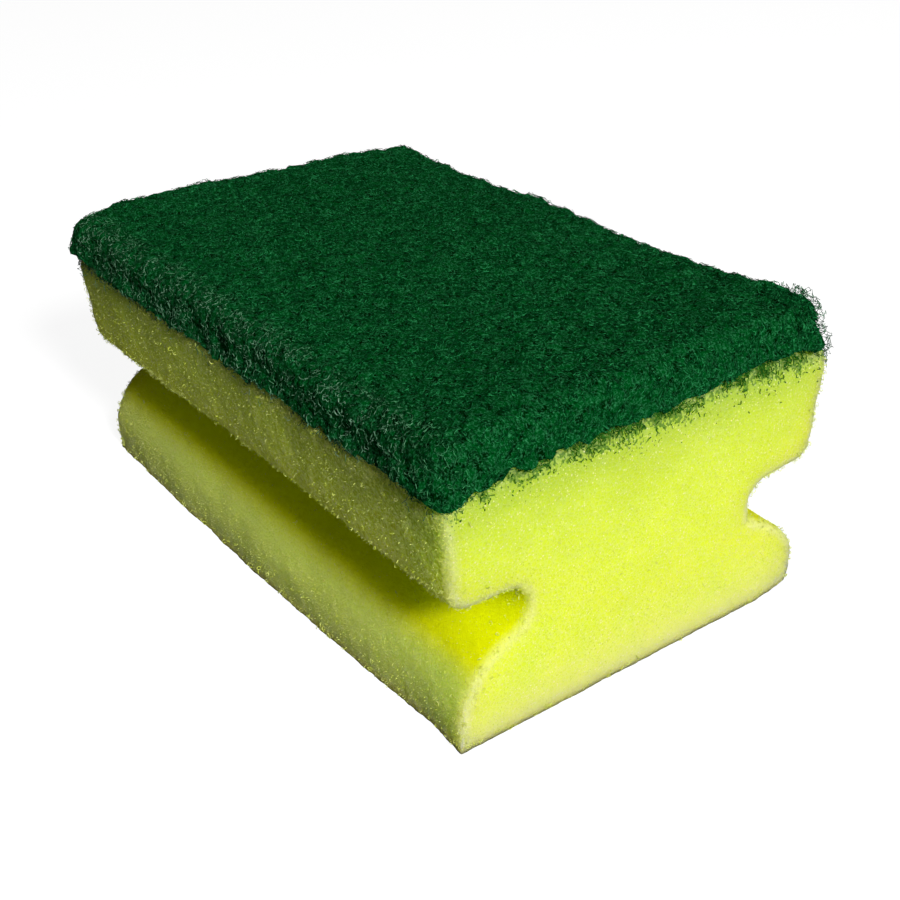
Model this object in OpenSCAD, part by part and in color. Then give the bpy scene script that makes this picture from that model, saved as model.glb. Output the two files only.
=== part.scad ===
// Finger-grip scouring sponge.
// A log of open-cell foam is cut to a waisted section, so that a groove for the fingertips
// runs along each long side, and a nonwoven scouring pad is bonded onto its bowed top.
// Frame: X along the length, Y across the width, Z up, with the origin at the middle of the base.

/* [Foam block] */
// Length of the foam block
block_length = 100; // [80:1:130]
// Width across the top of the block, where the pad is bonded
top_width = 65; // [62.5:0.5:80]
// Width across the top flange where its sides meet the roof of the grooves
flange_width = 62.4; // [56:0.2:65]
// Width across the foot
foot_width = 61; // [56:0.5:66]
// Height of the foam block in the middle of its width, where its bowed top is highest
foam_height = 37.5; // [32:0.5:50]
// Radius to which the top of the block is bowed across its width
bow_radius = 346; // [250:1:500]

/* [Finger grooves] */
// Height of the flat roof of both grooves above the base
roof_height = 20.6; // [19:0.2:24]
// Width of the waist that is left between the grooves
waist_width = 39; // [34:0.5:42]
// Radius of the round inner end of each groove
groove_radius = 3; // [2:0.25:4]
// Radius of the shoulder that falls away from each groove to the side of the foot
shoulder_radius = 12; // [9:0.5:13]
// Radius of the lip along the lower edge of each flange
lip_radius = 2.5; // [1:0.25:5]
// Radius along the two bottom edges of the foot
foot_edge_radius = 0.5; // [0.25:0.25:2]

/* [Scouring pad] */
// Thickness of the pad
pad_thickness = 6; // [4:0.5:10]
// Distance by which the pad's edge stands back from the edge of the block
pad_setback = 0.3; // [0:0.1:2]
// Radius of the pad's four corners, seen from above
pad_corner_radius = 4; // [3:0.5:10]
// Radius along the pad's top edge
pad_edge_radius = 2.5; // [0.5:0.25:3]

/* [Hidden] */

// Steps to a full circle, for arcs, and for the bow, which is so wide that it needs more
arc_steps = 96;
bow_steps = 720;
$fn = arc_steps;

// Arcs run this far over the line or arc that they blend into, so that the two cross there.
// Where they only touched, rounding would leave a sliver of a face between them.
crossing = 0.01;

// The pad's corners are turned about the corners of this rectangle.
corner_spacing = [
    block_length - 2 * (pad_setback + pad_corner_radius),
    top_width - 2 * (pad_setback + pad_corner_radius)
];
// The top is bowed between the centres of the pad's corners, and from there to its two long
// edges it runs on straight, at this slope.
bow_slope = asin(corner_spacing[1] / 2 / bow_radius);
// Height of the bow's centre, which is far below the block
bow_centre = foam_height - bow_radius;
// Height at which the slopes leave the bow, a hair under it, and at which they end
bow_crossing = crossing / 5;
bow_end = bow_centre + bow_radius * cos(bow_slope) - bow_crossing;
edge_height = bow_end - (top_width - corner_spacing[1]) / 2 * tan(bow_slope);
// Half the width over which the bow is drawn, so that it runs into the slopes
bow_reach = (corner_spacing[1] + pad_corner_radius) / 2;

// The section is worked out in its right half, as [Y, Z], and reflected.
// The flange's side leans in from the top of the block down to the groove's roof.
flange_lean = atan((top_width - flange_width) / 2 / (edge_height - roof_height));
// Direction that squarely leaves the flange's side
flange_outward = [cos(flange_lean), -sin(flange_lean)];
// Centre of the lip's arc, which touches the roof and blends into the leaning side
lip_reach = lip_radius - crossing;
lip_centre = [
    flange_width / 2 + lip_radius * tan(flange_lean) - lip_reach / cos(flange_lean),
    roof_height + lip_radius
];
// Centre of the groove's inner arc, which touches the roof and the waist
groove_centre = [waist_width / 2 + groove_radius, roof_height - groove_radius];
// Centre of the shoulder's arc, which touches the side of the foot and blends into the groove
shoulder_y = foot_width / 2 - shoulder_radius;
centre_distance = shoulder_radius + groove_radius - crossing;
shoulder_centre = [
    shoulder_y,
    groove_centre[1] - sqrt(pow(centre_distance, 2) - pow(groove_centre[0] - shoulder_y, 2))
];
// Point where the shoulder's arc runs into the groove's inner arc
blend_point = shoulder_centre
    + (groove_centre - shoulder_centre) * (shoulder_radius - crossing / 2) / centre_distance;
// Centre of the arc along a bottom edge of the foot
foot_edge_centre = [foot_width / 2 - foot_edge_radius, foot_edge_radius];

// Closes the right half of an outline with its own reflection.
function with_reflection(points) =
    concat(points, [for (i = [len(points) - 1 : -1 : 0]) [-points[i][0], points[i][1]]]);

// Draws its children and their reflection in the section's middle line.
module both_sides() {
    children();
    mirror([1, 0, 0]) children();
}

// Extrudes a section drawn in Y and Z along X, centred on the origin.
module extrude_along_x(length) {
    rotate([90, 0, 90]) linear_extrude(height = length, center = true) children();
}

// The shoulder's arc alone, because a full circle would reach below the base
module shoulder_arc() {
    intersection() {
        translate(shoulder_centre) circle(r = shoulder_radius);
        translate([0, shoulder_centre[1]]) square([foot_width / 2, shoulder_radius]);
    }
}

// Section of the block: straight lines join the points where its arcs begin and end. The foot's
// edges, the shoulders and the lips are rounded outwards, and the ends of the grooves inwards,
// so the roof runs round the waist and into the shoulder without a corner.
module block_section() {
    difference() {
        union() {
            polygon(with_reflection([
                [foot_edge_centre[0], 0],
                [foot_width / 2, foot_edge_radius],
                [foot_width / 2, shoulder_centre[1]],
                blend_point,
                [groove_centre[0], roof_height],
                [lip_centre[0], roof_height],
                lip_centre + lip_reach * flange_outward,
                [top_width / 2, edge_height],
                [corner_spacing[1] / 2, bow_end]
            ]));
            // Bow of the top, drawn from halfway up the flange
            intersection() {
                translate([0, bow_centre]) circle(r = bow_radius, $fn = bow_steps);
                translate([-bow_reach, (roof_height + foam_height) / 2])
                    square([2 * bow_reach, foam_height]);
            }
            both_sides() {
                translate(foot_edge_centre) circle(r = foot_edge_radius);
                shoulder_arc();
                translate(lip_centre) circle(r = lip_radius);
            }
        }
        both_sides() translate(groove_centre) circle(r = groove_radius);
    }
}

module foam_block() {
    color("#dcee50") extrude_along_x(block_length) block_section();
}

// Section through the rim of the pad, from the centre of a corner out to the edge. Its arc keeps
// its own steps where the section is turned over the bow.
module pad_rim() {
    flat_reach = pad_corner_radius - pad_edge_radius;
    square([pad_corner_radius, pad_thickness - pad_edge_radius]);
    square([flat_reach, pad_thickness]);
    intersection() {
        translate([flat_reach, pad_thickness - pad_edge_radius])
            circle(r = pad_edge_radius, $fn = arc_steps);
        square([pad_corner_radius, pad_thickness]);
    }
}

// Section along the pad, with a rim at both ends
module pad_length_section() {
    translate([-corner_spacing[0] / 2, 0]) square([corner_spacing[0], pad_thickness]);
    both_sides() translate([corner_spacing[0] / 2, 0]) pad_rim();
}

// Half of the pad, drawn from the bow's centre, with the slope beside the bow level: the rim along
// its long side, a corner at both ends of it, and the length section, turned about the centre to
// a little past the middle
module pad_half() {
    translate([0, 0, bow_radius]) {
        extrude_along_x(corner_spacing[0]) pad_rim();
        for (end = [0, 1]) mirror([end, 0, 0])
            translate([corner_spacing[0] / 2, 0, 0]) rotate_extrude(angle = 90) pad_rim();
    }
    turn = 1.1 * bow_slope;
    rotate([0, 90, 0]) rotate([0, 0, 180]) rotate_extrude(angle = turn, $fn = bow_steps)
        translate([bow_radius, 0]) mirror([1, 0]) rotate([0, 0, 90]) pad_length_section();
}

// The pad keeps its thickness over the bow. Its halves are tilted to the slopes and cut to meet
// in the middle.
module scouring_pad() {
    color("#0b5a37") for (side = [0, 1]) mirror([0, side, 0]) intersection() {
        translate([0, 0, bow_centre]) rotate([-bow_slope, 0, 0]) pad_half();
        translate([-block_length / 2, 0, 0])
            cube([block_length, top_width, foam_height + 2 * pad_thickness]);
    }
}

foam_block();
scouring_pad();
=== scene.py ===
"""A finger-grip scouring sponge: a waisted block of lime-yellow foam with a dark green pad on top."""
import math

import bmesh
import bpy
import numpy as np
from mathutils import Matrix, Quaternion, Vector, noise


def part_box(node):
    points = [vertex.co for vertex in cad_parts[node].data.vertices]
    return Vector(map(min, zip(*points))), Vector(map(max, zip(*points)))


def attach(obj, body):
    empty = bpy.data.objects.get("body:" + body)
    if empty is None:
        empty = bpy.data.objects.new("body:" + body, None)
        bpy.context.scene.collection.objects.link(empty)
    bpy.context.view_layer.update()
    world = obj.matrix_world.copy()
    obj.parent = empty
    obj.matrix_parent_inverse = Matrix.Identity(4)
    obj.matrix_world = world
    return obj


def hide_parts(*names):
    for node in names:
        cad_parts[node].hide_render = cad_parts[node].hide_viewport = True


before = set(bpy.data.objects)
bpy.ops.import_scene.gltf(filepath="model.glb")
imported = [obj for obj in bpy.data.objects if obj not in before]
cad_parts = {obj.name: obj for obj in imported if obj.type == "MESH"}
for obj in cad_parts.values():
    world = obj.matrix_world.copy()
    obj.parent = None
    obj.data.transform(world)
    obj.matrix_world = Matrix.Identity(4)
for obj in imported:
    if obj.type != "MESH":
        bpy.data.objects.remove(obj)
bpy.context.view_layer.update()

MM = 0.001
scene = bpy.context.scene


# ---------------------------------------------------------------------------------------------
# Camera. It looks down on the end of the block and on one of its long sides, from about 20 cm.
camera_place = Vector((153.29, -107.12, 115.52)) * MM
camera_aim = Vector((16.01, -6.39, 20.0)) * MM
camera_roll = math.radians(-0.99)

camera = bpy.data.objects.new("camera", bpy.data.cameras.new("camera"))
camera.data.sensor_width = 36.0
camera.data.lens = 54.39
camera.data.clip_start = 10 * MM
turn = (camera_place - camera_aim).to_track_quat("Z", "Y") @ Quaternion((0, 0, 1), camera_roll)
camera.matrix_world = Matrix.Translation(camera_place) @ turn.to_matrix().to_4x4()
scene.collection.objects.link(camera)
scene.camera = camera


# ---------------------------------------------------------------------------------------------
# Foam block. One log of open-cell polyurethane foam, sawn to its waisted section and cut to
# length, so every face is a cut through the cells. Its top is slightly bowed, and the pad is
# bonded onto it.
foam_low, foam_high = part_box("foam_block")
pad_low, pad_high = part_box("scouring_pad")
BOW = foam_high.z - pad_low.z
FOAM_GRAIN = 0.50 * MM
ROUNDING = 4            # rounds of smoothing over a whole piece
END_WEAR = 5.0 * MM     # how far from the ends their edges are worn round
END_WEAR_ROUNDS = 40
UNSEEN_SHARE = 0.62     # share of the faces that is kept where they don't show
FOOT_PRESS = 0.7 * MM   # how far the foam gives at the base, and over which height that fades
FOOT_SPRING = 1.0 * MM
TUCK = 0.6 * MM         # how far the top edges are drawn in, and how far from them that begins
TUCK_HEIGHT = 2.0 * MM
CELL = 0.6 * MM
FOAM_RELIEF = {"Cell size": 1.3 * MM, "Cell depth": 0.38 * MM,
               "Wave length": 9.0 * MM, "Wave depth": 0.8 * MM}


def merged_copy(node, name):
    """A copy of a CAD node's mesh, closed by merging its loose triangles."""
    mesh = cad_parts[node].data.copy()
    build = bmesh.new()
    build.from_mesh(mesh)
    bmesh.ops.remove_doubles(build, verts=build.verts, dist=1e-6)
    build.to_mesh(mesh)
    build.free()
    mesh.materials.clear()
    piece = bpy.data.objects.new(name, mesh)
    scene.collection.objects.link(piece)
    return piece


def baked(piece):
    """Turns what a piece's modifiers give into its plain mesh, and removes them."""
    finished = piece.evaluated_get(bpy.context.evaluated_depsgraph_get())
    mesh = bpy.data.meshes.new_from_object(finished)
    piece.modifiers.clear()
    piece.data = mesh
    return piece


def grained(piece, size, smoothing):
    """Remeshes a piece into even squares of this size and rounds its edges off."""
    remesh = piece.modifiers.new("grain", "REMESH")
    remesh.mode = "VOXEL"
    remesh.voxel_size = size
    smooth = piece.modifiers.new("rounding", "SMOOTH")
    smooth.factor = 0.5
    smooth.iterations = smoothing
    return baked(piece)


def thinned(piece, wanted, share):
    """Thins a piece out to this share of its faces, only where a rule on its points says so."""
    group = piece.vertex_groups.new(name="spare")
    group.add([point.index for point in piece.data.vertices if wanted(point.co)], 1.0, "REPLACE")
    thin = piece.modifiers.new("thin", "DECIMATE")
    thin.vertex_group = group.name
    thin.ratio = share
    baked(piece)
    piece.vertex_groups.clear()
    return piece


def eased(piece, weight, rounds):
    """Smooths a piece by this many rounds, as strongly as a rule on its points says."""
    group = piece.vertex_groups.new(name="ease")
    for point in piece.data.vertices:
        group.add([point.index], weight(point.co), "REPLACE")
    smooth = piece.modifiers.new("ease", "SMOOTH")
    smooth.vertex_group = group.name
    smooth.factor = 0.5
    smooth.iterations = rounds
    baked(piece)
    piece.vertex_groups.clear()
    return piece


def reshaped(piece, rule):
    """Moves a piece's points as a rule says, which takes and gives an array of points."""
    points = np.empty(len(piece.data.vertices) * 3, np.float32)
    piece.data.vertices.foreach_get("co", points)
    moved = rule(points.reshape(-1, 3).astype(float))
    piece.data.vertices.foreach_set("co", moved.astype(np.float32).ravel())
    piece.data.update()
    return piece


def bond_height(across):
    """Height of the foam's bowed top, where the pad is bonded, at this place across its width."""
    return foam_high.z - BOW * (across / foam_high.y) ** 2


def end_edges(place):
    """How worn a point is: most at the edges of the two ends, and not at all along the foot."""
    along = (abs(place.x) - foam_high.x + END_WEAR) / END_WEAR
    above = max(0, place.z - 2 * MM) / (10 * MM)
    return min(max(along, 0), 1) * min(1, above)


def unseen(place):
    """Whether a point is on the bonded top or the underside, away from their edges."""
    depth = min(bond_height(place.y) - place.z, place.z - foam_low.z)
    return depth < 0.2 * MM and abs(place.x) < foam_high.x - 2 * MM and abs(place.y) < foam_high.y - 4 * MM


def nudged(pushes):
    """A rule that pushes points about as use has. Each push has a middle, a reach and a shift, in mm."""
    def rule(points):
        moved = points.copy()
        for middle, reach, shift in pushes:
            away = ((points - np.array(middle) * MM) / (np.array(reach) * MM)) ** 2
            moved += np.exp(-away.sum(1))[:, None] * np.array(shift) * MM
        return moved
    return rule


def stood(points):
    """Presses the foot's edges flat onto the face that the block stands on."""
    moved = points.copy()
    moved[:, 2] -= FOOT_PRESS * np.exp((foam_low.z - points[:, 2]) / FOOT_SPRING)
    moved[:, 2] = np.maximum(moved[:, 2], foam_low.z)
    return moved


def tucked(points):
    """Draws the foam's top edges in, so that they stay behind the web that hangs over them."""
    rise = np.clip((points[:, 2] - bond_height(points[:, 1]) + TUCK_HEIGHT) / TUCK_HEIGHT, 0, 1)
    moved = points.copy()
    for axis in (0, 1):
        close = np.clip(1 - (foam_high[axis] - abs(points[:, axis])) / TUCK_HEIGHT, 0, 1)
        moved[:, axis] -= np.sign(points[:, axis]) * TUCK * rise * close
    return moved


def add(tree, kind, inputs=None, **settings):
    """Adds a node to a tree. An input takes a value, or the socket that feeds it."""
    made = tree.nodes.new(kind)
    for name, value in settings.items():
        setattr(made, name, value)
    for key, value in (inputs or {}).items():
        if isinstance(value, bpy.types.NodeSocket):
            tree.links.new(value, made.inputs[key])
        else:
            made.inputs[key].default_value = value
    return made


def calc(tree, operation, *values):
    """Adds a Math node and returns its result."""
    return add(tree, "ShaderNodeMath", dict(enumerate(values)), operation=operation).outputs[0]


def product(tree, first, *others):
    """Multiplies values with each other, in turn."""
    for other in others:
        first = calc(tree, "MULTIPLY", first, other)
    return first


def vector_calc(tree, operation, *values):
    """Adds a Vector Math node and returns its vector."""
    node = add(tree, "ShaderNodeVectorMath", dict(enumerate(values)), operation=operation)
    return node.outputs[0]


def scaled(tree, vector, factor):
    """Multiplies a vector by a number."""
    return add(tree, "ShaderNodeVectorMath", {0: vector, "Scale": factor}, operation="SCALE").outputs[0]


def ramp(tree, value, span, ends=(0.0, 1.0)):
    """A mask that goes from one end to the other as a value passes over this span."""
    limits = {"From Min": span[0], "From Max": span[1], "To Min": ends[0], "To Max": ends[1]}
    return add(tree, "ShaderNodeMapRange", {"Value": value} | limits).outputs[0]


def noise_at(tree, place, scale, detail=1.0):
    """Adds a Noise Texture node and returns its outputs."""
    return add(tree, "ShaderNodeTexNoise", {"Vector": place, "Scale": scale, "Detail": detail}).outputs


def mixed(tree, amount, first, second):
    """Mixes two colours."""
    node = add(tree, "ShaderNodeMix", data_type="RGBA")
    for index, value in ((0, amount), (6, first), (7, second)):
        if isinstance(value, bpy.types.NodeSocket):
            tree.links.new(value, node.inputs[index])
        else:
            node.inputs[index].default_value = value
    return node.outputs[2]


def geometry_tree(name, sizes):
    """Starts a geometry tree that takes a mesh and these sizes. Returns it with its inputs."""
    tree = bpy.data.node_groups.new(name, "GeometryNodeTree")
    tree.interface.new_socket("Geometry", in_out="INPUT", socket_type="NodeSocketGeometry")
    for key, value in sizes.items():
        kind = "NodeSocketInt" if isinstance(value, int) else "NodeSocketFloat"
        tree.interface.new_socket(key, in_out="INPUT", socket_type=kind)
    tree.interface.new_socket("Geometry", in_out="OUTPUT", socket_type="NodeSocketGeometry")
    return tree, tree.nodes.new("NodeGroupInput").outputs


def end_tree(tree, geometry, material):
    """Ends a geometry tree: instances become real mesh, and take their material."""
    real = add(tree, "GeometryNodeRealizeInstances", {"Geometry": geometry})
    coated = add(tree, "GeometryNodeSetMaterial", {"Geometry": real.outputs[0], "Material": material})
    add(tree, "NodeGroupOutput", {"Geometry": coated.outputs[0]})


def grow(piece, tree, sizes):
    """Runs a geometry tree on a piece with these sizes, and keeps the mesh that it gives."""
    modifier = piece.modifiers.new(tree.name, "NODES")
    modifier.node_group = tree
    for item in tree.interface.items_tree:
        if item.in_out == "INPUT" and item.name in sizes:
            modifier[item.identifier] = sizes[item.name]
    return baked(piece)


def new_material(name, roughness, specular):
    """Starts a material. Returns it with its node tree and its shader."""
    material = bpy.data.materials.new(name)
    material.use_nodes = True
    shader = material.node_tree.nodes["Principled BSDF"]
    shader.inputs["Roughness"].default_value = roughness
    shader.inputs["Specular IOR Level"].default_value = specular
    return material, material.node_tree, shader


def open_cells():
    """Shader group: the pattern of cut cells, as masks of struts, of open pores and of painted glints."""
    group = bpy.data.node_groups.new("open_cells", "ShaderNodeTree")
    group.interface.new_socket("Cell", in_out="INPUT", socket_type="NodeSocketFloat")
    for name in ("Strut", "Pore", "Glint"):
        group.interface.new_socket(name, in_out="OUTPUT", socket_type="NodeSocketFloat")
    given = group.nodes.new("NodeGroupInput").outputs
    place = add(group, "ShaderNodeTexCoord").outputs["Object"]
    per_metre = calc(group, "DIVIDE", 1.0, given["Cell"])
    edge = add(group, "ShaderNodeTexVoronoi", {"Vector": place, "Scale": per_metre},
               feature="DISTANCE_TO_EDGE")
    strut = ramp(group, edge.outputs["Distance"], (0.16, 0.02))
    fine = calc(group, "MULTIPLY", per_metre, 1.9)
    chips = add(group, "ShaderNodeTexVoronoi", {"Vector": place, "Scale": fine}, feature="F1")
    luck = add(group, "ShaderNodeSeparateColor", {"Color": chips.outputs["Color"]}).outputs
    near = ramp(group, chips.outputs["Distance"], (0.5, 0.2))
    pore = calc(group, "MULTIPLY", calc(group, "GREATER_THAN", luck[0], 0.86), near)
    glint = calc(group, "MULTIPLY", ramp(group, luck[1], (0.7, 1.05)), near)
    add(group, "NodeGroupOutput", {"Strut": strut, "Pore": pore, "Glint": glint})
    return group


OPEN_CELLS = open_cells()

# Heights over which the foam's painted light and shade, and the yellow of its sole, come in, from none to
# all of it
FOOT_LIGHT = (14 * MM, 0.0)
SIDE_SHADE = (24 * MM, 31 * MM)
SHOULDER_LIGHT = (14 * MM, 8 * MM)
SOLE = (1.5 * MM, 0.3 * MM)
# Depth at which the painted shade under the pad is down to about a third, and heights over which the pad's
# specks come in
PAD_SHADE_DEPTH = 6.0 * MM
SPECKED = (pad_low.z - 4 * MM, pad_low.z + 1 * MM)
# Along the block: the end that has the specks, the long sides, which begin behind both ends, and
# the rise in the painted speckle of highlights and shade towards the lit near end
SPECKED_END = (foam_high.x - 4 * MM, foam_high.x - 2 * MM)
LONG_SIDES = (foam_high.x, foam_high.x - 1.5 * MM)
SPECKLE_ALONG = (-60 * MM, 50 * MM)
# The inside of the grooves: from their mouth in, from the roof down and from the shoulder up
GROOVE_MOUTH = (30.5 * MM, 27.5 * MM)
GROOVE_ROOF = (22 * MM, 20 * MM)
GROOVE_SHOULDER = (8.5 * MM, 11.5 * MM)
# green of the painted shade under the pad and along the tops of the long sides
PAD_SHADE_TINT = (0.16, 0.36, 0.05, 1)


def foam_layers(tree, cells, deep, pale):
    """The layers of the foam's colour from the dye up, each with a mask, a weight and a colour."""
    edge = add(tree, "ShaderNodeAttribute", attribute_name="cut_edge").outputs["Fac"]
    place = add(tree, "ShaderNodeTexCoord").outputs["Object"]
    at = add(tree, "ShaderNodeSeparateXYZ", {"Vector": place}).outputs
    height = at["Z"]
    off_end = ramp(tree, calc(tree, "ABSOLUTE", at["X"]), LONG_SIDES)
    # the dye took in patches. Painted light makes it paler towards the foot, where the table sends light
    # back up, and painted shade darkens it green under the pad
    patches = ramp(tree, noise_at(tree, place, scale=120.0, detail=3.0)["Fac"], (0.35, 0.65))
    painted_foot_light = calc(tree, "POWER", ramp(tree, height, FOOT_LIGHT), 3.0)
    below = calc(tree, "SUBTRACT", height, pad_low.z)
    painted_pad_shade = calc(tree, "EXPONENT", calc(tree, "DIVIDE", below, PAD_SHADE_DEPTH))
    # the long sides: painted shade near the top, under the pad's overhang, and painted light low on the
    # foot's shoulder, which faces up to the light
    painted_side_shade = product(tree, ramp(tree, height, SIDE_SHADE), off_end)
    painted_shoulder_light = product(tree, ramp(tree, height, SHOULDER_LIGHT), off_end)
    # specks of the pad's resin, thick along the bond line of the near end and gone below it
    grains = noise_at(tree, place, scale=2100.0)["Fac"]
    clumps = noise_at(tree, place, scale=330.0)["Fac"]
    ripe = calc(tree, "ADD", grains, calc(tree, "MULTIPLY", clumps, 0.6))
    near = ramp(tree, height, SPECKED)
    ripe = calc(tree, "ADD", ripe, calc(tree, "MULTIPLY", calc(tree, "POWER", near, 2.0), 0.42))
    speck = product(tree, ramp(tree, ripe, (1.06, 1.12)), ramp(tree, at["X"], SPECKED_END),
                    calc(tree, "GREATER_THAN", near, 0.1))
    # a speckle on the long sides, most of it towards the lit near end: painted highlights where cell tips
    # catch the light, and painted shade in the holes
    torn = noise_at(tree, place, scale=2000.0, detail=2.0)["Fac"]
    near_end = ramp(tree, at["X"], SPECKLE_ALONG)
    tip_highlight = product(tree, ramp(tree, torn, (0.46, 0.62)), near_end, off_end)
    hole_shade = product(tree, ramp(tree, torn, (0.46, 0.3)), near_end, off_end)
    # painted light inside the grooves: the deep yellow that light takes from bouncing between the foam's
    # walls, in place of the painted light of the foot and shoulder
    inside = ramp(tree, calc(tree, "ABSOLUTE", at["Y"]), GROOVE_MOUTH)
    under = ramp(tree, height, GROOVE_ROOF)
    above = ramp(tree, height, GROOVE_SHOULDER)
    groove_bounce_light = product(tree, inside, under, above, off_end)
    # so little light comes back from the last millimetre of the foot that only the dye's yellow shows
    sole = ramp(tree, height, SOLE)
    return ((patches, 0.25, deep),
            (painted_foot_light, 0.8, (0.9, 1.0, 0.3, 1)),
            (cells.outputs["Strut"], 0.25, pale),
            (cells.outputs["Pore"], 0.7, deep),
            # painted highlight along the cut edges, where light leaks through the thin foam
            (edge, 0.5, pale),
            (painted_pad_shade, 0.6, PAD_SHADE_TINT),
            (painted_side_shade, 0.18, PAD_SHADE_TINT),
            # painted glints, where cell walls would catch the light
            (cells.outputs["Glint"], 1.0, (1.0, 1.0, 0.55, 1)),
            (speck, 0.75, (0.03, 0.16, 0.015, 1)),
            (tip_highlight, 0.8, (0.86, 1.0, 0.2, 1)),
            (hole_shade, 0.6, (0.45, 0.52, 0.01, 1)),
            (painted_shoulder_light, 0.6, (0.7, 0.98, 0.16, 1)),
            (groove_bounce_light, 1.0, (0.87, 1.0, 0.0, 1)),
            (sole, 0.8, (1.0, 1.0, 0.06, 1)))


def foam_material(name, base, deep, pale):
    """Open-cell foam: darker pores, paler struts, the pad's specks, painted highlights, light and shade,
    and light that soaks in.
    """
    material, tree, shader = new_material(name, roughness=0.85, specular=0.05)
    cells = add(tree, "ShaderNodeGroup", {"Cell": CELL}, node_tree=OPEN_CELLS)
    colour = base
    for mask, weight, tint in foam_layers(tree, cells, deep, pale):
        colour = mixed(tree, calc(tree, "MULTIPLY", mask, weight), colour, tint)
    tree.links.new(colour, shader.inputs["Base Color"])
    sunk = calc(tree, "MULTIPLY", cells.outputs["Pore"], 0.6)
    relief = calc(tree, "SUBTRACT", cells.outputs["Strut"], sunk)
    relief = calc(tree, "ADD", relief, cells.outputs["Glint"])
    bump = add(tree, "ShaderNodeBump", {"Height": relief, "Strength": 0.45, "Distance": 0.3 * MM})
    tree.links.new(bump.outputs[0], shader.inputs["Normal"])
    shader.inputs["Subsurface Weight"].default_value = 1.0
    shader.inputs["Subsurface Radius"].default_value = (1.0, 1.0, 0.35)
    shader.inputs["Subsurface Scale"].default_value = 7.0 * MM
    return material


def foam_relief(material):
    """Geometry tree: dents a foam skin where the saw opened its cells, and marks its cut edges."""
    tree, given = geometry_tree("foam_relief", FOAM_RELIEF)
    normal = add(tree, "GeometryNodeInputNormal").outputs[0]
    place = add(tree, "GeometryNodeInputPosition").outputs[0]
    # the normals around a point cancel each other where the skin turns sharply
    mean = add(tree, "GeometryNodeBlurAttribute", {"Value": normal, "Iterations": 8},
               data_type="FLOAT_VECTOR")
    flatness = add(tree, "ShaderNodeVectorMath", {0: mean.outputs[0]}, operation="LENGTH").outputs["Value"]
    edge = ramp(tree, flatness, (0.985, 0.93))
    marked = add(tree, "GeometryNodeStoreNamedAttribute",
                 {"Geometry": given["Geometry"], "Name": "cut_edge", "Value": edge},
                 data_type="FLOAT", domain="POINT")
    fine = noise_at(tree, place, calc(tree, "DIVIDE", 1.0, given["Cell size"]))["Fac"]
    slow = noise_at(tree, place, calc(tree, "DIVIDE", 1.0, given["Wave length"]), detail=2.0)["Fac"]
    dent = calc(tree, "MULTIPLY", calc(tree, "SUBTRACT", fine, 0.5), given["Cell depth"])
    wave = calc(tree, "MULTIPLY", calc(tree, "SUBTRACT", slow, 0.5), given["Wave depth"])
    step = scaled(tree, normal, calc(tree, "ADD", dent, wave))
    moved = add(tree, "GeometryNodeSetPosition", {"Geometry": marked.outputs[0], "Offset": step})
    end_tree(tree, moved.outputs[0], material)
    return tree


foam = foam_material("foam", (0.82, 0.96, 0.045, 1), (0.61, 0.75, 0.01, 1), (0.92, 1.0, 0.45, 1))
foam_skin = grained(merged_copy("foam_block", "foam_skin"), FOAM_GRAIN, ROUNDING)
eased(foam_skin, end_edges, END_WEAR_ROUNDS)
thinned(foam_skin, unseen, UNSEEN_SHARE)
reshaped(foam_skin, nudged((
    # raised with the pad on the far side, at one corner of the far end and along the near end
    ((40, 34, 41), (13, 12, 9), (0.3, 0.8, 1.4)),
    ((-50, -24, 42), (7, 12, 6), (0, 0, 0.6)),
    ((-50, -31, 36), (12, 8, 5), (-0.5, -0.4, 1.0)),
    ((50, -25, 38), (12, 9, 9), (0, 0, 1.5)),
    ((50, -5, 38), (12, 12, 9), (0, 0, 0.7)),
    ((50, 17, 38), (12, 12, 9), (0, 0, 1.6)),
    # foot bowed out, then drawn in, along the near side, and worn round at two corners
    ((8, -31, 2), (22, 14, 12), (0, -0.35, 0)),
    ((38, -31, 2), (11, 14, 10), (0, 0.5, 0)),
    ((-50, -31, 1), (10, 10, 4), (0.5, 0.8, 0)),
    ((50, 32, 0), (10, 6, 4), (-0.3, -0.8, 0.75)),
    # corner that stands out under the pad
    ((50, 33, 37), (6, 5, 3), (0.2, 1.4, 0)),
    # near lip worn short, and the shoulder worn down on the far side
    ((5, -31, 21.5), (40, 5, 2.5), (0, 0, 1.25)),
    ((50, 25, 13), (30, 8, 5), (0, -0.7, -0.7)),
)))
grow(foam_skin, foam_relief(foam), FOAM_RELIEF)
reshaped(foam_skin, stood)
reshaped(foam_skin, tucked)
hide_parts("foam_block")
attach(foam_skin, "root")


# ---------------------------------------------------------------------------------------------
# Cut cells of the foam. The saw leaves half-open cells standing along every cut edge: thin struts
# that ring a window each. They are part of the block, and loosest along its edges and lips.
CUT_CELLS = {"Density": 2.6e6, "Elsewhere": 0.015, "Seed": 4, "Width": 0.48 * MM, "Strut": 0.038 * MM,
             "Stand": 0.25 * MM}
STRUT_ENDS = {"Density": 1.1e6, "Seed": 6, "Radius": 0.07 * MM, "Length": 0.32 * MM}
TORN_STRUTS = STRUT_ENDS | {"Density": 2.4e6, "Seed": 8, "Length": 0.6 * MM}
# Heights of the torn stretches of the flanges
TORN_LIP = (21 * MM, 23.5 * MM)
TORN_TOP = (34.5 * MM, pad_low.z)


def patch(mesh, name, wanted):
    """A new piece from the faces of a mesh that are wanted."""
    build = bmesh.new()
    build.from_mesh(mesh)
    spare = [face for face in build.faces if not wanted(face)]
    bmesh.ops.delete(build, geom=spare, context="FACES")
    piece = bpy.data.objects.new(name, bpy.data.meshes.new(name))
    build.to_mesh(piece.data)
    build.free()
    scene.collection.objects.link(piece)
    return piece


def off_the_bond(face):
    """The foam's skin, without its bonded top and the face that it stands on."""
    return 0.6 * MM < face.calc_center_median().z < pad_low.z - 0.3 * MM


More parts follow.
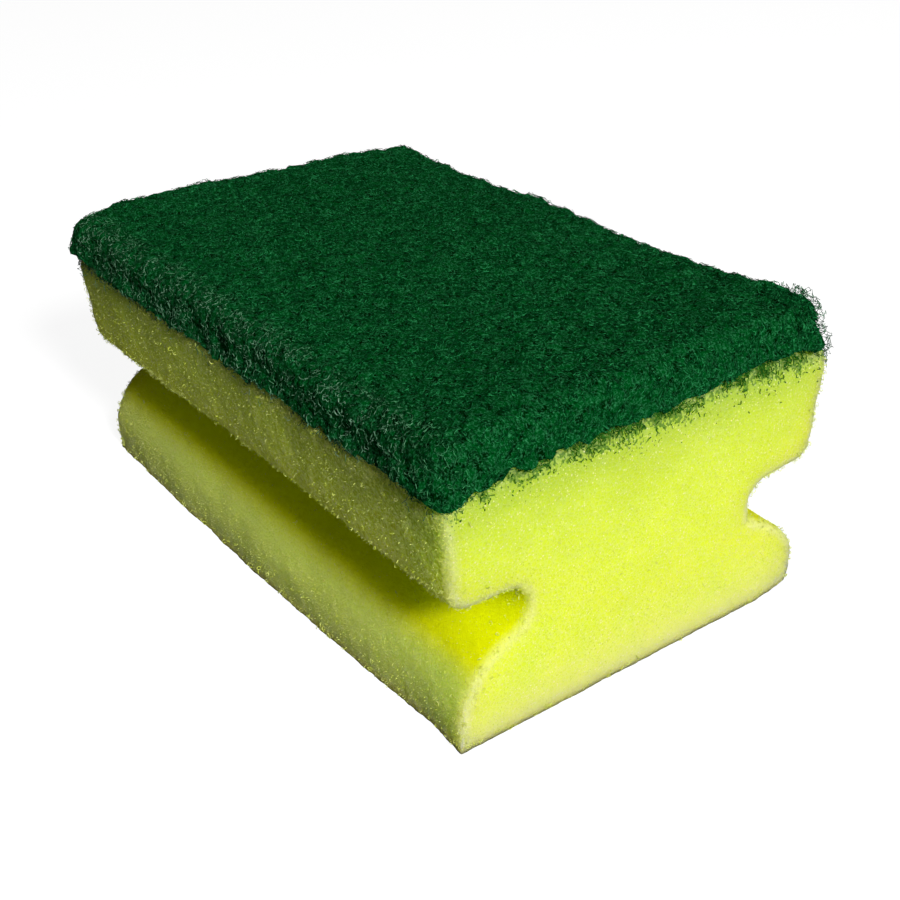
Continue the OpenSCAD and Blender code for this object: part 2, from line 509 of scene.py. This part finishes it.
def torn_edge(face):
    """The lips of the flanges, and the top of their sides, just under the pad."""
    middle = face.calc_center_median()
    return abs(middle.y) > 29 * MM and any(low < middle.z < high for low, high in (TORN_LIP, TORN_TOP))


def chance(tree, low, high, seed):
    """Adds a Random Value node, for numbers or for vectors, and returns its result."""
    node = tree.nodes.new("FunctionNodeRandomValue")
    node.data_type = "FLOAT" if isinstance(low, float) else "FLOAT_VECTOR"
    for key, value in (("Min", low), ("Max", high), ("Seed", seed)):
        socket = [item for item in node.inputs if item.enabled and item.name == key][0]
        if isinstance(value, bpy.types.NodeSocket):
            tree.links.new(value, socket)
        else:
            socket.default_value = value
    return [item for item in node.outputs if item.enabled][0]


def cut_cells(material):
    """Geometry tree: scatters six-sided cell windows over a skin, most of them on its cut edges."""
    tree, given = geometry_tree("cut_cells", CUT_CELLS)
    seed = given["Seed"]
    edge = add(tree, "GeometryNodeInputNamedAttribute", {"Name": "cut_edge"}, data_type="FLOAT").outputs[0]
    share = calc(tree, "ADD", edge, given["Elsewhere"])
    spread = add(tree, "GeometryNodeDistributePointsOnFaces",
                 {"Mesh": given["Geometry"], "Seed": seed,
                  "Density": calc(tree, "MULTIPLY", share, given["Density"])})
    lift = calc(tree, "MULTIPLY", chance(tree, -0.3, 1.0, seed), given["Stand"])
    lifted = add(tree, "GeometryNodeSetPosition",
                 {"Geometry": spread.outputs["Points"],
                  "Offset": scaled(tree, spread.outputs["Normal"], lift)})
    rim = add(tree, "GeometryNodeCurvePrimitiveCircle",
              {"Resolution": 6, "Radius": calc(tree, "MULTIPLY", given["Width"], 0.5)})
    strut = add(tree, "GeometryNodeCurvePrimitiveCircle", {"Resolution": 3, "Radius": given["Strut"]})
    window = add(tree, "GeometryNodeCurveToMesh",
                 {"Curve": rim.outputs[0], "Profile Curve": strut.outputs[0]})
    turn = add(tree, "FunctionNodeEulerToRotation",
               {"Euler": chance(tree, (0.0, 0.0, 0.0), (math.tau, math.tau, math.tau), seed)})
    laid = add(tree, "GeometryNodeInstanceOnPoints",
               {"Points": lifted.outputs[0], "Instance": window.outputs[0], "Rotation": turn.outputs[0],
                "Scale": chance(tree, 0.55, 1.15, seed)})
    real = add(tree, "GeometryNodeRealizeInstances", {"Geometry": laid.outputs[0]})
    place = add(tree, "GeometryNodeInputPosition").outputs[0]
    warp = noise_at(tree, place, calc(tree, "DIVIDE", 1.0, given["Width"]), detail=0.0)["Color"]
    off = scaled(tree, vector_calc(tree, "SUBTRACT", warp, (0.5, 0.5, 0.5)), given["Width"])
    bent = add(tree, "GeometryNodeSetPosition", {"Geometry": real.outputs[0], "Offset": off})
    end_tree(tree, bent.outputs[0], material)
    return tree


def strut_ends(material):
    """Geometry tree: stands short cut strut ends all over a skin, each a thin three-sided spike."""
    tree, given = geometry_tree("strut_ends", STRUT_ENDS)
    seed = given["Seed"]
    spread = add(tree, "GeometryNodeDistributePointsOnFaces",
                 {"Mesh": given["Geometry"], "Seed": seed, "Density": given["Density"]})
    spike = add(tree, "GeometryNodeMeshCone",
                {"Vertices": 3, "Side Segments": 1, "Radius Top": 0.0, "Radius Bottom": given["Radius"],
                 "Depth": given["Length"]}, fill_type="NGON")
    lean = vector_calc(tree, "ADD", spread.outputs["Normal"],
                       chance(tree, (-0.9, -0.9, -0.9), (0.9, 0.9, 0.9), seed))
    turn = add(tree, "FunctionNodeAlignRotationToVector", {"Vector": lean}, axis="Z")
    laid = add(tree, "GeometryNodeInstanceOnPoints",
               {"Points": spread.outputs["Points"], "Instance": spike.outputs[0],
                "Rotation": turn.outputs[0], "Scale": chance(tree, 0.5, 1.0, seed)})
    end_tree(tree, laid.outputs[0], material)
    return tree


def strut_material(name, colour, pale):
    """Bare foam struts: pale, because so little of the dyed foam is left in them."""
    material, tree, shader = new_material(name, roughness=0.6, specular=0.2)
    place = add(tree, "ShaderNodeTexCoord").outputs["Object"]
    amount = ramp(tree, noise_at(tree, place, scale=900.0)["Fac"], (0.35, 0.65))
    tree.links.new(mixed(tree, amount, colour, pale), shader.inputs["Base Color"])
    return material


strut = strut_material("foam_strut", (0.7, 0.8, 0.06, 1), (0.9, 0.96, 0.3, 1))
for name, make, sizes, wanted in (
        ("cell_windows", cut_cells, CUT_CELLS, off_the_bond),
        ("strut_ends", strut_ends, STRUT_ENDS, off_the_bond),
        ("torn_struts", strut_ends, TORN_STRUTS, torn_edge)):
    loose = patch(foam_skin.data, name, wanted)
    grow(loose, make(strut), sizes)
    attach(loose, "root")


# ---------------------------------------------------------------------------------------------
# Core of the scouring pad. A nonwoven web of coarse crimped fibres, set with a dark green resin
# and bonded onto the foam's bowed top. The core is the dense middle of the web, and the fibres
# that stand clear of it come after it.
WEB_GRAIN = 0.6 * MM
WEB_WEAR_ROUNDS = 90
WEB_SWELL = {"Size": 12.0 * MM, "Depth": 1.6 * MM, "Inset": 0.0}
WEB_CLUMPS = {"Size": 3.5 * MM, "Depth": 1.6 * MM, "Inset": 0.0}
WEB_PITS = {"Size": 1.5 * MM, "Depth": 1.2 * MM, "Inset": 0.2 * MM}
# The web's bottom edge hangs down by tongues of two sizes, from this high and this far in
HANG = 0.8 * MM
HANG_HEIGHT = 2.2 * MM
HANG_DEPTH = 2.2 * MM
OVERHANG = 0.5 * MM
SMALL_TONGUE = 1.5 * MM
LARGE_TONGUE = 5 * MM


def rubbed_edge(place):
    """How worn a point of the pad is: its cut edges along one side and at the near end."""
    out = max((-23 * MM - place.y) / (5 * MM), (place.x - 45 * MM) / (6 * MM), 0)
    above = max((place.z - 37.5 * MM) / (2 * MM), 0)
    return min(out, 1) * min(above, 1)


def hung(points):
    """Lets the web's bottom edge out past the foam and down over it, in ragged tongues."""
    low = np.clip(1.3 * (1 - (points[:, 2] - bond_height(points[:, 1])) / HANG_HEIGHT), 0, 1)
    moved = points.copy()
    near = np.zeros(len(points))
    for axis in (0, 1):
        gap = pad_high[axis] - abs(points[:, axis])
        close = np.clip(1.6 * (1 - gap / HANG_DEPTH), 0, 1)
        moved[:, axis] += np.sign(points[:, axis]) * (gap + OVERHANG) * close * low
        near = np.maximum(near, close)
    for index in np.nonzero(near * low)[0]:
        place = Vector(points[index])
        tongue = 0.6 + 1.0 * noise.noise(place / SMALL_TONGUE) + 1.2 * noise.noise(place / LARGE_TONGUE)
        moved[index, 2] -= HANG * max(tongue, 0) * near[index] * low[index]
    return moved


def web_material(name, dark, mid, light):
    """Resin-set web: thin winding fibres drawn as level lines of several noises, over gaps darkened by
    painted shade.
    """
    material, tree, shader = new_material(name, roughness=0.85, specular=0.0)
    place = add(tree, "ShaderNodeTexCoord").outputs["Object"]
    lines = []
    for shift, scale in ((0.0, 1300.0), (3.1, 1700.0), (7.7, 2300.0)):
        shifted = vector_calc(tree, "ADD", place, (shift, shift * 1.7, shift * 0.6))
        winding = noise_at(tree, shifted, scale)["Fac"]
        off = calc(tree, "ABSOLUTE", calc(tree, "SUBTRACT", winding, 0.5))
        lines.append(ramp(tree, off, (0.05, 0.0)))
    top = calc(tree, "MAXIMUM", calc(tree, "MAXIMUM", lines[0], lines[1]), lines[2])
    # painted shade: the web is darker where a noise makes it deeper
    depth = ramp(tree, noise_at(tree, place, scale=900.0, detail=2.0)["Fac"], (0.36, 0.5))
    grit = ramp(tree, noise_at(tree, place, scale=3200.0)["Fac"], (0.4, 0.66))
    colour = mixed(tree, depth, dark, mid)
    colour = mixed(tree, calc(tree, "MULTIPLY", top, grit), colour, light)
    tree.links.new(colour, shader.inputs["Base Color"])
    height = calc(tree, "ADD", calc(tree, "MULTIPLY", top, 0.5), depth)
    bump = add(tree, "ShaderNodeBump", {"Height": height, "Strength": 0.7, "Distance": 0.25 * MM})
    tree.links.new(bump.outputs[0], shader.inputs["Normal"])
    return material


def web_relief(material):
    """Geometry tree: swells and pits the web along its normals, by noise of one size."""
    tree, given = geometry_tree("web_relief", WEB_SWELL)
    normal = add(tree, "GeometryNodeInputNormal").outputs[0]
    place = add(tree, "GeometryNodeInputPosition").outputs[0]
    swell = noise_at(tree, place, calc(tree, "DIVIDE", 1.0, given["Size"]), detail=2.0)["Fac"]
    height = calc(tree, "MULTIPLY", calc(tree, "SUBTRACT", swell, 0.5), given["Depth"])
    step = scaled(tree, normal, calc(tree, "SUBTRACT", height, given["Inset"]))
    moved = add(tree, "GeometryNodeSetPosition", {"Geometry": given["Geometry"], "Offset": step})
    end_tree(tree, moved.outputs[0], material)
    return tree


web = web_material("web_core", (0.0, 0.013, 0.001, 1), (0.0, 0.065, 0.009, 1), (0.03, 0.22, 0.08, 1))
pad_core = grained(merged_copy("scouring_pad", "pad_core"), WEB_GRAIN, ROUNDING)
eased(pad_core, rubbed_edge, WEB_WEAR_ROUNDS)
reshaped(pad_core, hung)
reshaped(pad_core, nudged((
    # swollen along its far side and its far end
    ((40, 34, 42), (11, 12, 6), (0.2, 0.6, 1.4)),
    ((-5, 33, 43), (10, 9, 6), (0, 0, 1.5)),
    ((-48, 26, 44), (12, 15, 8), (0, 0.2, 0.8)),
    ((-50, -15, 44), (8, 14, 5), (0, 0, 0.8)),
    # worn short, and raised, at the corner between the near end and the far side
    ((52, 34, 40), (6, 6, 9), (-0.35, -0.35, 0)),
    ((44, 33, 44), (9, 8, 4), (0, 0, 0.3)),
    ((50, 28, 36), (7, 7, 3), (0.3, 0.5, 1.2)),
    # raised along the near end
    ((50, -25, 38), (12, 9, 9), (0, 0, 1.5)),
    ((50, -5, 38), (12, 12, 9), (0, 0, 0.7)),
    ((50, 17, 38), (12, 12, 9), (0, 0, 1.6)),
    # drawn up and out at one corner of the far end
    ((-50, -31, 36), (12, 8, 4), (-0.5, -0.4, 1.0)),
    ((-52, -34, 40.5), (8, 8, 4), (-1.9, -2.3, 0.6)),
    ((-50, -24, 42), (7, 12, 6), (0, 0, 0.8)),
    # near corner, where a tuft hangs over
    ((51, -33, 37), (4, 4, 3), (0.5, -0.3, -1.9)),
)))
web_tree = web_relief(web)
grow(pad_core, web_tree, WEB_SWELL)
grow(pad_core, web_tree, WEB_CLUMPS)
web_shape = pad_core.data.copy()
grow(pad_core, web_tree, WEB_PITS)
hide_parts("scouring_pad")
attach(pad_core, "root")


# ---------------------------------------------------------------------------------------------
# Fibres of the web. Each is a crimped strand, over a millimetre long, that winds in and out of the
# pad's surface. They are spread over the pad's top and its cut edges, in three layers.

# Below the height Top the fibres thin out over the distance Fall. Gap is the size of the bare spots.
# They lie about the distance Stand off the surface, and Loft is how much that varies.
FIBRES = {"Density": 720000.0, "Seed": 1, "Top": 0.0, "Fall": 1.0, "Gap": 1.8 * MM, "Points": 7,
          "Length": 1.4 * MM, "Crimp length": 0.55 * MM, "Crimp": 1.5 * MM, "Loft": 0.9 * MM,
          "Stand": -0.05 * MM, "Radius": 0.045 * MM}
# Where the painted sheen comes in across the pad, and over which it fades along it, near the end
SHEEN_ACROSS = (-27 * MM, -31 * MM)
SHEEN_FADE = (36 * MM, 48 * MM)


def fibre_material(name, base, light, edge_sheen):
    """Resin-coated fibre: a shade of its own for each strand, and a painted sheen, pale grey, along one top
    edge.
    """
    material, tree, shader = new_material(name, roughness=0.5, specular=0.0)
    shade = add(tree, "ShaderNodeAttribute", attribute_name="shade").outputs["Fac"]
    place = add(tree, "ShaderNodeTexCoord").outputs["Object"]
    at = add(tree, "ShaderNodeSeparateXYZ", {"Vector": place}).outputs
    sheen_mask = product(tree, ramp(tree, at["Y"], SHEEN_ACROSS), ramp(tree, at["X"], SHEEN_FADE, (1.0, 0.25)))
    tone = calc(tree, "POWER", shade, 1.5)
    grit = ramp(tree, noise_at(tree, place, scale=2000.0)["Fac"], (0.4, 0.65))
    colour = mixed(tree, product(tree, tone, grit), base, light)
    colour = mixed(tree, product(tree, sheen_mask, tone, grit), colour, edge_sheen)
    tree.links.new(colour, shader.inputs["Base Color"])
    return material


def winding_fibres(material):
    """Geometry tree: spreads crimped fibres over a surface and holds them close to it."""
    tree, given = geometry_tree("winding_fibres", FIBRES)
    source = given["Geometry"]
    place = add(tree, "GeometryNodeInputPosition").outputs[0]
    normal = add(tree, "GeometryNodeInputNormal").outputs[0]
    # they thin out below Top, and leave gaps
    height = add(tree, "ShaderNodeSeparateXYZ", {"Vector": place}).outputs["Z"]
    below = calc(tree, "DIVIDE", calc(tree, "SUBTRACT", height, given["Top"]), given["Fall"])
    share = calc(tree, "EXPONENT", calc(tree, "MINIMUM", below, 0.0))
    gaps = noise_at(tree, place, calc(tree, "DIVIDE", 1.0, given["Gap"]))["Fac"]
    share = calc(tree, "MULTIPLY", share, ramp(tree, gaps, (0.4, 0.48)))
    spread = add(tree, "GeometryNodeDistributePointsOnFaces",
                 {"Mesh": source, "Density": calc(tree, "MULTIPLY", given["Density"], share),
                  "Seed": given["Seed"]})
    # each starts as a straight line that lies on the surface, turned at random
    strand = add(tree, "GeometryNodeCurvePrimitiveLine", {"Start": (-0.5, 0, 0), "End": (0.5, 0, 0)})
    strand = add(tree, "GeometryNodeResampleCurve", {"Curve": strand.outputs[0], "Count": given["Points"]})
    upright = add(tree, "FunctionNodeAlignRotationToVector", {"Vector": spread.outputs["Normal"]}, axis="Z")
    about = add(tree, "FunctionNodeAxisAngleToRotation",
                {"Axis": (0, 0, 1), "Angle": chance(tree, 0.0, math.tau, given["Seed"])})
    turn = add(tree, "FunctionNodeRotateRotation",
               {"Rotation": upright.outputs[0], "Rotate By": about.outputs[0]}, rotation_space="LOCAL")
    laid = add(tree, "GeometryNodeInstanceOnPoints",
               {"Points": spread.outputs["Points"], "Instance": strand.outputs[0],
                "Rotation": turn.outputs[0], "Scale": given["Length"]})
    toned = add(tree, "GeometryNodeStoreNamedAttribute",
                {"Geometry": laid.outputs[0], "Name": "shade", "Value": chance(tree, 0.0, 1.0, 5)},
                data_type="FLOAT", domain="INSTANCE")
    real = add(tree, "GeometryNodeRealizeInstances", {"Geometry": toned.outputs[0]})
    # the crimp differs from strand to strand, because each reads the noise at a place of its own
    shade = add(tree, "GeometryNodeInputNamedAttribute", {"Name": "shade"}, data_type="FLOAT").outputs[0]
    own = add(tree, "ShaderNodeCombineXYZ", {"X": calc(tree, "MULTIPLY", shade, 3.0)})
    read_at = vector_calc(tree, "ADD", place, own.outputs[0])
    crimp = noise_at(tree, read_at, calc(tree, "DIVIDE", 1.0, given["Crimp length"]), detail=0.0)["Color"]
    bend = scaled(tree, vector_calc(tree, "SUBTRACT", crimp, (0.5, 0.5, 0.5)), given["Crimp"])
    bent = add(tree, "GeometryNodeSetPosition", {"Geometry": real.outputs[0], "Offset": bend})
    # each point is then brought back to the surface, and lifted off it by another noise
    near = add(tree, "GeometryNodeSampleNearestSurface", {"Mesh": source, "Value": normal},
               data_type="FLOAT_VECTOR")
    foot = add(tree, "GeometryNodeProximity", {"Geometry": source}, target_element="FACES")
    rise = noise_at(tree, read_at, calc(tree, "DIVIDE", 0.8, given["Crimp length"]), detail=0.0)["Fac"]
    lift = calc(tree, "MULTIPLY_ADD", calc(tree, "SUBTRACT", rise, 0.5), given["Loft"], given["Stand"])
    held_at = vector_calc(tree, "ADD", foot.outputs["Position"], scaled(tree, near.outputs["Value"], lift))
    held = add(tree, "GeometryNodeSetPosition", {"Geometry": bent.outputs[0], "Position": held_at})
    ring = add(tree, "GeometryNodeCurvePrimitiveCircle", {"Resolution": 3, "Radius": given["Radius"]})
    tube = add(tree, "GeometryNodeCurveToMesh",
               {"Curve": held.outputs[0], "Profile Curve": ring.outputs[0], "Fill Caps": True})
    end_tree(tree, tube.outputs[0], material)
    return tree


def off_the_foam(face):
    """The pad's top and edges, without the face that is bonded to the foam."""
    return face.normal.z > -0.5


fibre = fibre_material("web_fibre", (0.0, 0.046, 0.009, 1), (0.04, 0.43, 0.13, 1), (0.34, 0.58, 0.4, 1))
fibre_tree = winding_fibres(fibre)
for layer, seed in (("under", 1), ("middle", 2), ("top", 3)):
    strands = patch(web_shape, "web_fibres_" + layer, off_the_foam)
    grow(strands, fibre_tree, FIBRES | {"Seed": seed})
    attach(strands, "root")


# ---------------------------------------------------------------------------------------------
# Frayed fibres. The pad was cut through, so cut ends of its fibres hang over the top of the foam:
# a fringe and broken crumbs at the near end, and single ones along the sides, in a copy of the fibre
# colours lightened as painted light against the shade they lie in. A tangle stands loose at one corner.
FRAYS = FIBRES | {"Top": pad_low.z + 1.0 * MM, "Gap": 3.0 * MM, "Points": 4, "Length": 0.7 * MM,
                  "Crimp length": 0.3 * MM, "Crimp": 0.6 * MM, "Loft": 0.3 * MM, "Stand": 0.05 * MM,
                  "Radius": 0.07 * MM}
FRINGE = {"Density": 11.0e6, "Fall": 0.45 * MM, "Length": 0.5 * MM, "Radius": 0.08 * MM,
          "Stand": 0.25 * MM, "Loft": 0.6 * MM, "Points": 3}
CRUMBS = {"Density": 2.2e6, "Fall": 1.2 * MM, "Seed": 9, "Points": 2, "Length": 0.2 * MM,
          "Stand": 0.05 * MM, "Radius": 0.09 * MM}
SIDES = {"Density": 6.0e6, "Top": pad_low.z - 0.6 * MM, "Fall": 0.4 * MM, "Length": 0.9 * MM,
         "Radius": 0.05 * MM, "Stand": 0.4 * MM, "Loft": 0.8 * MM, "Points": 4, "Seed": 11}
TANGLE = {"Density": 1.8e6, "Fall": 1.0, "Points": 10, "Length": 2.2 * MM, "Crimp length": 0.6 * MM,
          "Crimp": 1.7 * MM, "Loft": 2.4 * MM, "Stand": 0.7 * MM, "Radius": 0.045 * MM}


def end_top(face):
    """The top of the foam's near end, where the cut fibres hang over it."""
    return face.normal.x > 0.5 and face.calc_center_median().z > pad_low.z - 6 * MM


def side_tops(face):
    """The top of the foam's long sides, where single fibres hang over it."""
    return abs(face.normal.y) > 0.5 and face.calc_center_median().z > pad_low.z - 4 * MM


def loose_corner(face):
    """The corner of the pad where its fibres have come loose."""
    middle = face.calc_center_median()
    return middle.x > 43 * MM and middle.y > 26 * MM and face.normal.z > -0.5


fray = fibre_material("web_fray", (0.015, 0.1, 0.009, 1), (0.12, 0.36, 0.04, 1), (0.3, 0.48, 0.25, 1))
# a copy of the fibre colours lightened as painted light, for the side fibres that lie in shade
wisp_lightened = fibre_material("web_wisp_lightened", (0.03, 0.13, 0.05, 1), (0.2, 0.4, 0.2, 1), (0.34, 0.52, 0.32, 1))
fray_tree = winding_fibres(fray)
wisp_lightened_tree = winding_fibres(wisp_lightened)
for name, shape, wanted, strand_tree, sizes in (
        ("frayed_fringe", foam_skin.data, end_top, fray_tree, FRINGE),
        ("frayed_crumbs", foam_skin.data, end_top, fray_tree, CRUMBS),
        ("frayed_sides", foam_skin.data, side_tops, wisp_lightened_tree, SIDES),
        ("frayed_corner", web_shape, loose_corner, fibre_tree, TANGLE)):
    frays = patch(shape, name, wanted)
    grow(frays, strand_tree, FRAYS | sizes)
    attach(frays, "root")


# ---------------------------------------------------------------------------------------------
# Floor and light. A wide white table under one small round lamp, a metre away beyond the near
# end, in a dim white room. The table and the room look white, but send back little light.
TABLE_HALF = 3.0
TABLE_COLOUR = (0.23, 0.23, 0.23, 1)
TABLE_GLOW = 0.92
ROOM_LIGHT = 0.027
WHITE = (1, 1, 1, 1)
LAMP_TOWARD = Vector((0.80, -0.157, 0.57)).normalized()
LAMP_DISTANCE = 1.0


def seen(tree):
    """1 for rays from the camera, reflections and glass, and 0 for the rays that carry light."""
    ray = add(tree, "ShaderNodeLightPath").outputs
    mirrored = calc(tree, "MAXIMUM", ray["Is Glossy Ray"], ray["Is Transmission Ray"])
    return calc(tree, "MAXIMUM", ray["Is Camera Ray"], mirrored)


floor_mesh = bpy.data.meshes.new("floor")
floor_corners = [(x * TABLE_HALF, y * TABLE_HALF, 0) for x, y in ((-1, -1), (1, -1), (1, 1), (-1, 1))]
floor_mesh.from_pydata(floor_corners, [], [(0, 1, 2, 3)])
floor = bpy.data.objects.new("floor", floor_mesh)
floor.location.z = foam_low.z
scene.collection.objects.link(floor)
table, tree, shader = new_material("white_table", roughness=0.9, specular=0.0)
shader.inputs["Base Color"].default_value = TABLE_COLOUR
tree.links.new(calc(tree, "MULTIPLY", seen(tree), TABLE_GLOW), shader.inputs["Emission Strength"])
shader.inputs["Emission Color"].default_value = WHITE
floor.data.materials.append(table)

world = bpy.data.worlds.new("pale_room")
world.use_nodes = True
scene.world = world
tree = world.node_tree
background = tree.nodes["Background"]
room = calc(tree, "MULTIPLY_ADD", seen(tree), 1 - ROOM_LIGHT, ROOM_LIGHT)
tree.links.new(room, background.inputs["Strength"])
background.inputs["Color"].default_value = WHITE

lamp = bpy.data.objects.new("key_lamp", bpy.data.lights.new("key_lamp", "AREA"))
lamp.data.shape = "DISK"
lamp.data.size = 0.18
lamp.data.energy = 10.9
facing = LAMP_TOWARD.to_track_quat("Z", "Y").to_matrix().to_4x4()
lamp.matrix_world = Matrix.Translation(LAMP_TOWARD * LAMP_DISTANCE) @ facing
scene.collection.objects.link(lamp)

scene.view_settings.view_transform = "Standard"
